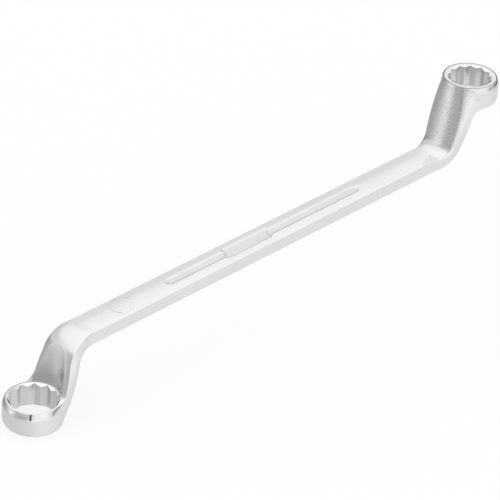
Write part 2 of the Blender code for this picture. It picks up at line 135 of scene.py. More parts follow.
class NodeBench:
    """Short calls for building one node tree."""

    def __init__(self, tree: bpy.types.NodeTree) -> None:
        """Takes the node tree to build in, and clears it."""
        self.tree = tree
        tree.nodes.clear()

    def add(self, kind: str, **inputs: object) -> bpy.types.Node:
        """Adds a node and sets or links its inputs.

        Args:
            kind: The node's type name without its "ShaderNode" start.
            inputs: Input names, with underscores for spaces, and a value or a socket for each.

        Returns:
            The new node.
        """
        node = self.tree.nodes.new("ShaderNode" + kind)
        for name, value in inputs.items():
            self.feed(node.inputs[name.replace("_", " ")], value)
        return node

    def feed(self, socket: Socket, value: object) -> None:
        """Sets a socket to a value, or links it to another socket.

        Args:
            socket: The input socket.
            value: A number, a colour, a vector or an output socket.
        """
        if isinstance(value, Socket):
            self.tree.links.new(value, socket)
        else:
            socket.default_value = value

    def maths(self, operation: str, first: object, second: object = 0.0) -> Socket:
        """Joins two values with a Math node.

        Args:
            operation: The node's operation.
            first: A number or a socket.
            second: A number or a socket, where the operation takes two.

        Returns:
            The result's socket.
        """
        node = self.add("Math")
        node.operation = operation
        for socket, value in zip(node.inputs, (first, second)):
            self.feed(socket, value)
        return node.outputs[0]

    def span(self, value: object, low: Point, high: Point) -> Socket:
        """Maps one range of a value to another, and clamps it.

        Args:
            value: The socket to map.
            low: Where the value's range starts, and what that becomes.
            high: Where the value's range ends, and what that becomes.

        Returns:
            The mapped value's socket.
        """
        ends = {"From_Min": low[0], "To_Min": low[1], "From_Max": high[0], "To_Max": high[1]}
        return self.add("MapRange", Value=value, **ends).outputs["Result"]

    def ramp(self, value: object, stops: tuple[Point, ...]) -> Socket:
        """Adds a grey colour ramp.

        Args:
            value: The socket that the ramp reads, from 0 to 1.
            stops: Pairs of a place and a brightness, in order.

        Returns:
            The ramp's colour socket.
        """
        node = self.add("ValToRGB", Fac=value)
        elements = node.color_ramp.elements
        while len(elements) < len(stops):
            elements.new(1.0)
        for element, (place, level) in zip(elements, stops):
            element.position = place
            element.color = (level, level, level, 1.0)
        return node.outputs[0]

    def blend(self, share: object, first: object, second: object) -> Socket:
        """Mixes two colours.

        Args:
            share: The second colour's share.
            first: A colour or a socket.
            second: A colour or a socket.

        Returns:
            The mixed colour's socket.
        """
        node = self.add("Mix")
        node.data_type = "RGBA"
        sockets = {socket.identifier: socket for socket in (*node.inputs, *node.outputs)}
        for name, value in (("Factor_Float", share), ("A_Color", first), ("B_Color", second)):
            self.feed(sockets[name], value)
        return sockets["Result_Color"]

    def mixed(self, share: object, first: bpy.types.Node, second: bpy.types.Node) -> Socket:
        """Mixes two shaders.

        Args:
            share: The second shader's share.
            first: A shader's node.
            second: A shader's node.

        Returns:
            The mixed shader's socket.
        """
        node = self.add("MixShader")
        for socket, value in zip(node.inputs, (share, first.outputs[0], second.outputs[0])):
            self.feed(socket, value)
        return node.outputs[0]

    def noise(self, place: Socket, pattern: Pattern, scale: float = 1.0) -> Socket:
        """Adds a noise.

        Args:
            place: The coordinates that it reads.
            pattern: Its pattern.
            scale: Its marks per unit of the coordinates.

        Returns:
            The socket of its level, from 0 to 1.
        """
        kind = {"Detail": pattern.detail, "Roughness": pattern.roughness}
        return self.add("TexNoise", Vector=place, Scale=scale, **kind).outputs[0]


def new_material(name: str) -> tuple[bpy.types.Material, NodeBench]:
    """Adds a material with an empty node tree.

    Args:
        name: The material's name.

    Returns:
        The material and the bench of its tree.
    """
    made = bpy.data.materials.new(name)
    made.use_nodes = True
    return made, NodeBench(made.node_tree)


@dataclass(frozen=True)
class ChromeFinish:
    """Bright chrome plate over steel, as smooth as the steel was worked before plating. Some finishes
    also paint shade into the plate's colour, as said at each.

    Attributes:
        name: The material's name.
        tint: The plate's colour.
        gloss: The plate's roughness where it is smoothest.
        haze: Roughness added where the plate is cloudiest.
        grain: Depth of the marks that the polishing belt left.
        grain_stretch: Marks per metre across and along their run.
        ripple: Depth of the slow unevenness of the forged surface.
        grit: Depth of the pits of a ground surface.
        grit_count: Pits per metre.
        grit_matt: Roughness added where the surface is ground.
        grit_shade: How much darker the plate looks in the pits.
        softened: Radius that polishing gave to the edges, 0 where they stay crisp.
        painted_shade: Two heights in the frame, each with the plate's brightness there, a painted shade
            that changes the plate's brightness between them, or none.
    """

    name: str
    tint: Colour = (0.86, 0.87, 0.88, 1.0)
    gloss: float = 0.06
    haze: float = 0.05
    grain: float = 0.004 * MM
    grain_stretch: Point = (900.0, 900.0)
    ripple: float = 0.02 * MM
    grit: float = 0.08 * MM
    grit_count: float = 1500.0
    grit_matt: float = 0.05
    grit_shade: float = 0.32
    softened: float = 0.0
    painted_shade: tuple[Point, ...] = ()

    def patterns(self, bench: NodeBench) -> tuple[Socket, ...]:
        """Adds the patterns of the finish.

        Args:
            bench: The bench of the material's tree.

        Returns:
            The sockets of the belt marks, the slow clouding and the pits, each from 0 to 1.
        """
        charts = bench.add("TexCoord").outputs
        run = bench.add("Mapping", Vector=charts["UV"], Scale=(*self.grain_stretch, 1.0))
        even = bench.add("Mapping", Vector=charts["UV"], Scale=(self.grit_count, self.grit_count, 1.0))
        return (
            bench.noise(run.outputs[0], BELT_MARKS),
            bench.noise(charts["Object"], CLOUDS, CLOUDS_PER_METRE),
            bench.noise(even.outputs[0], PITS),
        )

    def material(self) -> bpy.types.Material:
        """Builds the finish's material.

        Returns:
            The new material.
        """
        made, bench = new_material(self.name)
        marks, clouds, pits = self.patterns(bench)
        worked = bench.add("Attribute")
        worked.attribute_name = GROUND
        ground = worked.outputs["Fac"]
        cloud = bench.span(clouds, (CLOUDS.start, 0.0), (CLOUDS.full, 1.0))
        rough = bench.maths("ADD", bench.maths("MULTIPLY", cloud, self.haze), self.gloss)
        rough = bench.maths("ADD", rough, bench.maths("MULTIPLY", ground, self.grit_matt))
        shader = bench.add("BsdfPrincipled", Metallic=1.0, Roughness=rough)
        bench.add("OutputMaterial", Surface=shader.outputs[0])

        normal = bench.add("Bevel", Radius=self.softened).outputs[0] if self.softened else None
        layers = ((1.0, self.grain, marks), (ground, self.grit, pits), (1.0, self.ripple, clouds))
        for strength, depth, height in layers:
            bump = bench.add("Bump", Strength=strength, Distance=depth, Height=height)
            if normal is not None:
                bench.feed(bump.inputs["Normal"], normal)
            normal = bump.outputs[0]
        bench.feed(shader.inputs["Normal"], normal)

        dulled = (*(CLOUD_DULLING * part for part in self.tint[:3]), 1.0)
        colour = bench.blend(cloud, self.tint, dulled)
        pit = bench.span(pits, (PITS.start, 0.0), (PITS.full, self.grit_shade))
        colour = bench.blend(bench.maths("MULTIPLY", ground, pit), colour, PIT_COLOUR)
        # Painted shade: the plate's colour is scaled by the brightness given for its height.
        if self.painted_shade:
            place = bench.add("SeparateXYZ", Vector=bench.add("TexCoord").outputs["Object"])
            colour = bench.blend(bench.span(place.outputs["Z"], *self.painted_shade), BLACK, colour)
        bench.feed(shader.inputs["Base Color"], colour)
        return made


FORGED = ChromeFinish("polished_chrome", grain_stretch=(2600.0, 60.0))
# The bores' plate is darker than the skin, partly for their duller machined finish and partly as painted
# shade inside the bores.
MACHINED = ChromeFinish(
    "bore_chrome", tint=(0.70, 0.71, 0.72, 1.0), gloss=0.19, haze=0.08, grain=0.006 * MM,
    grain_stretch=(700.0, 700.0), ripple=0.004 * MM,
)
FACED = ChromeFinish(
    "face_chrome", tint=(0.97, 0.975, 0.98, 1.0), gloss=0.10, haze=0.04, grain=0.002 * MM,
    ripple=0.004 * MM,
)
# Painted shade: a dark line round the outer faces that stands in for the dark reflection at their edges.
PAINTED_RIM_SHADE = replace(
    FACED, name="painted_rim_shade_chrome", tint=(0.17, 0.172, 0.178, 1.0), gloss=0.30, haze=0.05
)
# The scoop's plate darkens towards its foot by the large ring's face: painted shade.
CLEARED = ChromeFinish(
    "scoop_chrome", tint=(0.88, 0.885, 0.895, 1.0), gloss=0.27, ripple=0.01 * MM,
    softened=2.5 * MM, painted_shade=((16.0 * MM, 0.78), (36.0 * MM, 1.0)),
)
RECESSED = ChromeFinish(
    "panel_chrome", tint=(0.82, 0.83, 0.84, 1.0), gloss=0.20, haze=0.10, grain=0.01 * MM,
    ripple=0.015 * MM,
)


# Sections of the forging


def between(first: float, last: float, share: float) -> float:
    """Returns the value that lies a given share of the way from one to another."""
    return first + (last - first) * share


def eased(value: float, start: float, end: float) -> float:
    """Returns 0 before the start, 1 past the end, and between them a run level at both."""
    share = min(max((value - start) / (end - start), 0.0), 1.0)
    return share * share * (3 - 2 * share)


@dataclass(frozen=True)
class Flank:
    """One broad side of a section.

    Attributes:
        half: Half of its width.
        edge: Its height at its edge.
        crown: Radius of its crown.
        corner: Radius of its corners.
    """

    half: float
    edge: float
    crown: float
    corner: float

    def lean(self) -> float:
        """Returns the lean of the normal where the crown runs into the corner."""
        return math.asin(min((self.half - self.corner) / (self.crown - self.corner), 1.0))

    def height(self) -> float:
        """Returns the height of the flank's middle above the middle of the section."""
        return self.edge + self.crown * (1 - math.cos(self.lean()))

    def point(self, lean: float) -> Point:
        """Finds the point where the flank's normal leans sideways by an angle.

        Args:
            lean: The angle.

        Returns:
            The point, across and out.
        """
        limit = self.lean()
        if lean <= limit:
            rise = self.crown * (math.cos(lean) - math.cos(limit))
            return self.crown * math.sin(lean), self.edge + rise
        return (
            self.half - self.corner * (1 - math.sin(lean)),
            self.edge + self.corner * (math.cos(lean) - math.cos(limit)),
        )


def mix(flanks: tuple[Flank, ...], shares: tuple[float, ...]) -> Flank:
    """Mixes several flanks. The crown's share is of its curvature.

    Args:
        flanks: The flanks.
        shares: The share of each.

    Returns:
        The mixed flank.
    """
    sizes = zip(*((flank.half, flank.edge, 1 / flank.crown, flank.corner) for flank in flanks))
    half, edge, curvature, corner = (
        sum(value * share for value, share in zip(values, shares)) for values in sizes
    )
    return Flank(half, edge, 1 / curvature, corner)


@dataclass(frozen=True)
class Section:
    """A forged section. Its back faces the inside of the bend, its front the outside."""

    back: Flank
    front: Flank

    def side_normal(self) -> float:
        """Finds the normal of the narrow side between the corners.

        Returns:
            Its turn from straight forward.
        """
        back, front = self.back, self.front
        rise = front.edge - front.corner * math.cos(front.lean())
        rise += back.edge - back.corner * math.cos(back.lean())
        out = front.half - front.corner - back.half + back.corner
        opening = math.acos((back.corner - front.corner) / math.hypot(out, rise))
        return math.atan2(out, rise) + opening

    def point(self, normal: float) -> Point:
        """Finds the point whose normal is turned from straight forward.

        Args:
            normal: The turn.

        Returns:
            The point, across and forward.
        """
        lean = abs(math.remainder(normal, math.tau))
        side = math.copysign(1.0, math.sin(normal))
        if lean <= self.side_normal():
            across, out = self.front.point(lean)
            return side * across, out
        across, out = self.back.point(math.pi - lean)
        return side * across, -out

    def round_point(self, radius: float, centre: float, merge: float, normal: float) -> Point:
        """Finds a point of the outline that wraps this section and a head's circle together.

        Args:
            radius: The circle's radius.
            centre: How far forward the circle's centre lies.
            merge: Difference of reach over which the one outline runs into the other.
            normal: The turn of the point's normal from straight forward.

        Returns:
            The point, across and forward.
        """
        across, forward = self.point(normal)
        round_across = radius * math.sin(normal)
        round_forward = centre + radius * math.cos(normal)
        neck_reach = across * math.sin(normal) + forward * math.cos(normal)
        round_reach = radius + centre * math.cos(normal)
        share = eased(round_reach - neck_reach, 0.0, merge)
        return between(across, round_across, share), between(forward, round_forward, share)


@dataclass(frozen=True)
class Stations:
    """How finely the loft is divided.

    Attributes:
        around: Points round each section, an even number.
        crown_share: How much closer they stand on the two broad sides.
        bend: Steps round each bend.
        neck: Steps up each neck.
        fillet: Steps round the fillet under each head.
        rim: Steps round each rim.
        head: Steps up each head's side.
        shank: Steps along the straight shank.
    """

    around: int = 144
    crown_share: float = 0.2
    bend: int = 30
    neck: int = 18
    fillet: int = 9
    rim: int = 7
    head: int = 8
    shank: int = 44

    def normals(self) -> list[float]:
        """Returns the turns of the points' normals round a section."""
        turns = [math.tau * index / self.around for index in range(self.around)]
        return [turn - self.crown_share * math.sin(2 * turn) for turn in turns]


@dataclass(frozen=True)
class Rim:
    """A rim of a head, where its barrel-shaped side runs in and then turns into the face.

    Attributes:
        radius: Radius of the side's run-in.
        lean: Lean of the side where it meets the edge.
        edge: Radius of the edge.
    """

    radius: float
    lean: float
    edge: float

    @property
    def inward(self) -> float:
        """How far the rim is rounded in at the face."""
        return self.radius * (1 - math.cos(self.lean)) + self.edge * math.cos(self.lean)

    def levels(self, steps: int) -> list[Point]:
        """Finds the rim's profile.

        Args:
            steps: Steps along the run-in, and again round the edge.

        Returns:
            Depths below the face, with how far the rim is rounded in at each.
        """
        drop = self.edge * (1 - math.sin(self.lean)) + self.radius * math.sin(self.lean)
        levels = []
        for step in range(steps):
            angle = self.lean * step / steps
            levels.append((drop - self.radius * math.sin(angle), self.radius * (1 - math.cos(angle))))
        for step in range(steps + 1):
            angle = between(self.lean, math.pi / 2, step / steps)
            levels.append((self.edge * (1 - math.sin(angle)), self.inward - self.edge * math.cos(angle)))
        return levels


@dataclass(frozen=True)
class Head:
    """Sizes of one head and of its place beside the shank.

    Attributes:
        bore: Width across the bore's flats.
        bore_turn: Turn of the bore's points about its axis.
        diameter: Diameter of the ring.
        height: Height of the ring.
        offset: Distance of the outer face's middle from the shank's middle line.
        reach: How far the bore's axis lies beyond the neck's middle line at the inner face.
        inner_rim: Rim of the inner face.
    """

    bore: float
    bore_turn: float
    diameter: float
    height: float
    offset: float
    reach: float
    inner_rim: Rim


@dataclass(frozen=True)
class Forging:
    """The drop forging: two heads, necks and bends at the ends of a straight shank.

    Attributes:
        length: Overall length.
        rise: Angle between the shank and the ring planes.
        neck_angle: Angle between the necks and the ring planes.
        large: The large head, at the -X end.
        small: The small head, at the +X end.
        painted_rim_shade: Width of the painted shade line round the outer faces, a dark line that stands
            in for the dark reflection at their edges.
        outer_rim: Rim of the outer faces.
        bend_radius: Radius of the middle line of the bends.
        spread_power: How early in a bend the section widens, earlier below 1.
        fillet: Radius of the fillet under each head.
        inner_merge: Difference of reach over which ring and neck run together, inner face.
        outer_merge: The same at the outer face.
        shank: Both broad sides of the shank.
        neck_back, neck_front: The broad sides where the neck starts.
        foot_back, foot_front: Those at the inner face.
        root_back, root_front: Those at the outer face. Each head sets its back's edge.
        belt_fade: Where the ground skin starts to fade and ends, in necks below the head.
        belt_facing: Cosine of the way round from the back's middle, where it starts and is full.
        stations: How finely the loft is divided.
    """

    length: float = 315.6 * MM
    rise: float = math.radians(4.0)
    neck_angle: float = math.radians(75.0)
    large: Head = Head(
        bore=22.0 * MM, bore_turn=math.radians(20.0), diameter=30.5 * MM, height=13.2 * MM,
        offset=36.9 * MM, reach=12.8 * MM, inner_rim=Rim(7.0 * MM, math.radians(36.0), 0.8 * MM),
    )
    small: Head = Head(
        bore=20.0 * MM, bore_turn=math.radians(13.5), diameter=30.2 * MM, height=12.6 * MM,
        offset=38.6 * MM, reach=11.2 * MM, inner_rim=Rim(3.5 * MM, math.radians(36.0), 0.8 * MM),
    )
    painted_rim_shade: float = 0.45 * MM
    outer_rim: Rim = Rim(5.6 * MM, math.radians(33.0), 0.3 * MM)
    bend_radius: float = 11.7 * MM
    spread_power: float = 0.8
    fillet: float = 5.0 * MM
    inner_merge: float = 3.0 * MM
    outer_merge: float = 1.0 * MM
    shank: Flank = Flank(7.95 * MM, 3.3 * MM, 34.0 * MM, 0.5 * MM)
    neck_back: Flank = Flank(11.2 * MM, 3.43 * MM, 22.0 * MM, 4.2 * MM)
    neck_front: Flank = Flank(10.7 * MM, 4.0895 * MM, 34.0 * MM, 1.1 * MM)
    foot_back: Flank = Flank(12.2 * MM, 4.09 * MM, 21.0 * MM, 6.2 * MM)
    foot_front: Flank = replace(neck_front, half=12.8 * MM)
    root_back: Flank = Flank(11.6 * MM, 0.0, 16.0 * MM, 9.0 * MM)
    root_front: Flank = replace(neck_front, half=12.0 * MM)
    belt_fade: Point = (0.9, 1.2)
    belt_facing: Point = (0.05, 0.55)
    stations: Stations = Stations()

    @property
    def plane(self) -> Vector:
        """Direction of the ring planes away from the shank, in an end's own axes."""
        return Vector((math.cos(self.rise), 0.0, -math.sin(self.rise)))

    @property
    def axis(self) -> Vector:
        """Direction of the bores, in an end's own axes."""
        return Vector((math.sin(self.rise), 0.0, math.cos(self.rise)))

    @property
    def bend(self) -> float:
        """Angle that the bar turns through at each end."""
        return self.neck_angle - self.rise

    @property
    def axis_span(self) -> float:
        """Distance between the two bores, along the ring planes."""
        return self.length - (self.large.diameter + self.small.diameter) / 2

    @property
    def shank_length(self) -> float:
        """Length of the straight shank."""
        lift = (self.small.offset + self.large.offset) * math.sin(self.rise)
        span = (self.axis_span + lift) / math.cos(self.rise)
        return span - self.head_centres(self.small)[0].x - self.head_centres(self.large)[0].x

    @property
    def face_rise(self) -> float:
        """Height of the small head's outer face above the large head's."""
        lift = self.small.offset + self.large.offset
        return (self.axis_span * math.sin(self.rise) + lift) / math.cos(self.rise)

    def place(self, head: Head) -> Vector:
        """Finds a head's place.

        Args:
            head: The head.

        Returns:
            The middle of its outer face, in the frame.
        """
        large = Vector(((self.large.diameter - self.length) / 2, 0.0, 0.0))
        step = Vector((self.axis_span, 0.0, self.face_rise))
        return large if head is self.large else large + step

    def in_frame(self, bm: BMesh) -> BMesh:
        """Moves a bmesh from the shank's own axes to the frame.

        Args:
            bm: The bmesh, with its origin at the middle of the shank.

        Returns:
            The same bmesh.
        """
        turn = Matrix.Rotation(-self.rise, 4, "Y")
        outer = self.head_centres(self.large)[0]
        face = Vector((-self.shank_length / 2 - outer.x, 0.0, -outer.z))
        move = Matrix.Translation(self.place(self.large) - turn @ face) @ turn
        bmesh.ops.transform(bm, matrix=move, verts=bm.verts)
        return bm

    def head_centres(self, head: Head) -> tuple[Vector, Vector]:
        """Finds a head's place from where its bend starts.

        Args:
            head: The head.

        Returns:
            The middles of its outer and inner face.
        """
        inner_z = head.offset - head.height * self.axis.z
        neck_z = inner_z - head.reach * self.plane.z
        neck_x = self.bend_radius * math.tan(self.bend / 2) + neck_z / math.tan(self.bend)
        inner = Vector((neck_x + head.reach * self.plane.x, 0.0, inner_z))
        return inner + self.axis * head.height, inner

    def bend_middle(self, angle: float) -> Vector:
        """Returns the point of the bent middle line after it has turned through an angle."""
        return Vector((self.bend_radius * math.sin(angle), 0.0, self.bend_radius * (1 - math.cos(angle))))

    def neck_ends(self, head: Head) -> tuple[Vector, Vector]:
        """Returns the neck's ends: at the bend, and in the plane of the head's inner face."""
        inner = self.head_centres(head)[1]
        return self.bend_middle(self.bend), inner - self.plane * head.reach

    def root_of(self, head: Head) -> Flank:
        """Fits the back of the neck's root to a head.

        Args:
            head: The head.

        Returns:
            The back, flush with the rim of the head's outer face.
        """
        reach = head.diameter / 2 - self.outer_rim.inward - head.reach
        reach += head.height / math.tan(self.neck_angle)
        return replace(self.root_back, edge=reach - self.root_back.height())

    def neck_section(self, head: Head, height: float) -> Section:
        """Finds the section of the neck, or of its run through the head.

        Args:
            head: The head.
            height: Height above the head's inner face.

        Returns:
            The section, on one even curve through those at the bend, the foot and the root.
        """
        start, end = self.neck_ends(head)
        below = (end - start).dot(self.axis)
        whole = below + head.height
        share = (height + below) / whole
        middle = below / whole
        neck = (1 - share) * (middle - share) / middle
        foot = share * (1 - share) / (middle * (1 - middle))
        shares = (neck, foot, 1 - neck - foot)
        return Section(
            mix((self.neck_back, self.foot_back, self.root_of(head)), shares),
            mix((self.neck_front, self.foot_front, self.root_front), shares),
        )

    @staticmethod
    def ring(middle: Vector, front: Vector, outline: list[Point]) -> Ring:
        """Returns an outline set at its middle, with its forward direction along a vector."""
        return [middle + front * forward + Vector((0.0, across, 0.0)) for across, forward in outline]

    def bend_rings(self) -> list[Ring]:
        """Lays the rings round a bend.

        Returns:
            The rings from the shank to the start of the neck.
        """
        rings = []
        for step in range(self.stations.bend + 1):
            share = step / self.stations.bend
            tilt = (math.pi / 2 - self.rise) * share
            spread = share**self.spread_power
            section = Section(
                mix((self.shank, self.neck_back), (1 - spread, spread)),
                mix((self.shank, self.neck_front), (1 - spread, spread)),
            )
            front = Vector((math.sin(tilt), 0.0, -math.cos(tilt)))
            outline = [section.point(normal) for normal in self.stations.normals()]
            rings.append(self.ring(self.bend_middle(self.bend * share), front, outline))
        return rings

    def foot_spread(self, head: Head, swell: float) -> list[Point]:
        """Finds how far each point of the neck's foot moves towards the rim of the inner face.

        Args:
            head: The head.
            swell: The most that a point moves.

        Returns:
            The moves, across and forward.
        """
        foot = self.neck_section(head, 0.0)
        radius = head.diameter / 2 - head.inner_rim.inward
        spread = []
        for normal in self.stations.normals():
            across, forward = foot.point(normal)
            rim_across, rim_forward = foot.round_point(radius, head.reach, self.inner_merge, normal)
            gap = math.hypot(rim_across - across, rim_forward - forward)
            share = swell / max(gap, swell, WELD)
            spread.append((share * (rim_across - across), share * (rim_forward - forward)))
        return spread

    def neck_rings(self, head: Head) -> list[Ring]:
        """Lays the rings up a neck and round the fillet under its head.

        Args:
            head: The head.

        Returns:
            The rings, up to the head's inner face.
        """
        start, end = self.neck_ends(head)
        below = (end - start).dot(self.axis)
        steps = self.stations.neck
        stops = [(between(-below, -self.fillet, step / steps), 0.0) for step in range(1, steps + 1)]
        for step in range(1, self.stations.fillet + 1):
            angle = math.pi / 2 * step / self.stations.fillet
            stops.append((self.fillet * (math.sin(angle) - 1), self.fillet * (1 - math.cos(angle))))
        rings = []
        for height, swell in stops:
            section = self.neck_section(head, height)
            outline = []
            moves = self.foot_spread(head, swell)
            for normal, (sideways, ahead) in zip(self.stations.normals(), moves):
                across, forward = section.point(normal)
                outline.append((across + sideways, forward + ahead))
            rings.append(self.ring(end + (end - start) * height / below, self.plane, outline))
        return rings

    def head_levels(self, head: Head) -> list[Point]:
        """Finds the levels of a head's rings.

        Args:
            head: The head.

        Returns:
            Heights above the inner face, with how far the rim is rounded in at each.
        """
        inner = head.inner_rim.levels(self.stations.rim)
        outer = self.outer_rim.levels(self.stations.rim)
        lowest = inner[0][0]
        straight = head.height - lowest - outer[0][0]
        levels = inner[::-1]
        for step in range(1, self.stations.head):
            levels.append((lowest + straight * step / self.stations.head, 0.0))
        return levels + [(head.height - depth, inward) for depth, inward in outer]

    def head_rings(self, head: Head) -> list[Ring]:
        """Lays the rings of a head.

        Args:
            head: The head.

        Returns:
            The rings from its inner to its outer face.
        """
        foot = self.neck_ends(head)[1]
        rings = []
        for height, inward in self.head_levels(head):
            shift = height / math.tan(self.neck_angle)
            section = self.neck_section(head, height)
            radius = head.diameter / 2 - inward
            merge = between(self.inner_merge, self.outer_merge, height / head.height)
            outline = [
                section.round_point(radius, head.reach - shift, merge, normal)
                for normal in self.stations.normals()
            ]
            middle = foot + self.axis * height + self.plane * shift
            rings.append(self.ring(middle, self.plane, outline))
        return rings

    def rings(self) -> list[Ring]:
        """Lays all rings of the loft.

        Returns:
            The rings in the shank's axes, from the large head to the small one.
        """
        count = self.stations.around
        reach = Vector((self.shank_length / 2, 0.0, 0.0))
        ends = []
        for head in (self.small, self.large):
            rings = self.bend_rings() + self.neck_rings(head) + self.head_rings(head)
            ends.append([[point + reach for point in ring] for ring in rings])
        small, large = ends[0], []
        for ring in ends[1]:
            turned = [Vector((-point.x, point.y, -point.z)) for point in ring]
            large.append([turned[(count // 2 - index) % count] for index in range(count)])
        straight = []
        for step in range(1, self.stations.shank):
            share = step / self.stations.shank
            straight.append([a.lerp(b, share) for a, b in zip(large[0], small[0])])
        return large[::-1] + straight + small

    def blank(self) -> BMesh:
        """Builds the forging before it is machined.

        The skin is a grid whose rows are the rings. Its UV map holds metres round and along
        the bar, and its ground layer says where a belt ran over the backs of the necks.

        Returns:
            The closed skin, in the frame.
        """
        rings = self.rings()
        count = self.stations.around
        bm = bmesh.new()
        chart = bm.loops.layers.uv.new("UVMap")
        bmesh.ops.create_grid(
            bm, x_segments=count, y_segments=len(rings) - 1, size=1.0, calc_uvs=True
        )
        bm.verts.ensure_lookup_table()
        ground = bm.verts.layers.float.new(GROUND)
        along = 0.0
        distances = []
        for row, ring in enumerate(rings):
            if row:
                along += (self.middle(ring) - self.middle(rings[row - 1])).length
            distances.append(along)
            for column in range(count + 1):
                vert = bm.verts[row * (count + 1) + column]
                vert.co = ring[column % count]
        waist = rings[len(rings) // 2]
        girth = sum((a - b).length for a, b in zip(waist, waist[1:]))
        for face in bm.faces:
            for corner in face.loops:
                row, column = divmod(corner.vert.index, count + 1)
                corner[chart].uv = (girth * column / count, distances[row])
        self.mark_ground(bm, ground, rings)
        bmesh.ops.remove_doubles(bm, verts=bm.verts, dist=WELD)
        bmesh.ops.dissolve_degenerate(bm, edges=bm.edges, dist=WELD)
        ends = [edge for edge in bm.edges if edge.is_boundary]
        caps = bmesh.ops.edgeloop_fill(bm, edges=ends)["faces"]
        # A band round each outer face gets the painted dark edge line.
        line = bmesh.ops.inset_region(bm, faces=caps, thickness=self.painted_rim_shade, use_even_offset=True)
        for faces, slot in ((caps, BlankSlot.FACE), (line["faces"], BlankSlot.PAINTED_RIM_SHADE)):
            for face in faces:
                face.material_index = slot
        return self.in_frame(bm)

    @staticmethod
    def middle(ring: Ring) -> Vector:
        """Returns the mean of a ring's points."""
        return sum(ring, Vector()) / len(ring)

    def mark_ground(self, bm: BMesh, layer: bmesh.types.BMLayerItem, rings: list[Ring]) -> None:
        """Marks where a coarse belt ran: over the back of each neck, between bend and head.

        Args:
            bm: The skin, with one vertex per ring point and one more for the seam.
            layer: The vertex layer to write.
            rings: The loft's rings.
        """
        count = self.stations.around
        neck_rows = self.stations.neck + self.stations.fillet
        head_rows = len(self.head_levels(self.small))
        for row in range(len(rings)):
            for from_end, back_side in ((row, 1.0), (len(rings) - 1 - row, -1.0)):
                below = (from_end - head_rows) / neck_rows
                if below > self.belt_fade[1]:
                    continue
                fade = 1.0 - eased(below, *self.belt_fade)
                for column in range(count + 1):
                    back = back_side * math.cos(math.tau * column / count)
                    vert = bm.verts[row * (count + 1) + column]
                    vert[layer] = fade * eased(back, *self.belt_facing)


# Tools that machine the forging


def new_object(name: str, bm: BMesh, *materials: bpy.types.Material) -> Object:
    """Makes an object from a bmesh and puts it in the scene, its faces turned outwards.

    Args:
        name: The object's name.
        bm: The bmesh, which is freed.
        materials: The materials that its faces count through.

    Returns:
        The new object.
    """
    bmesh.ops.recalc_face_normals(bm, faces=bm.faces)
    mesh = bpy.data.meshes.new(name)
    bm.to_mesh(mesh)
    bm.free()
    for material in materials:
        mesh.materials.append(material)
    made = bpy.data.objects.new(name, mesh)
    bpy.context.scene.collection.objects.link(made)
    return made


def machine(body: Object, tool: Object, cut: Cut) -> None:
    """Joins a tool to a body, or cuts it out, and throws the tool away.

    Args:
        body: The body.
        tool: The tool solid.
        cut: Whether the tool is joined or cut out.
    """
    modifier = body.modifiers.new(tool.name, "BOOLEAN")
    modifier.operation = cut.value
    modifier.solver = "EXACT"
    modifier.material_mode = "TRANSFER"
    modifier.object = tool
    graph = bpy.context.evaluated_depsgraph_get()
    before = body.data
    body.data = bpy.data.meshes.new_from_object(body.evaluated_get(graph))
    body.modifiers.clear()
    bpy.data.meshes.remove(before)
    bpy.data.objects.remove(tool, do_unlink=True)


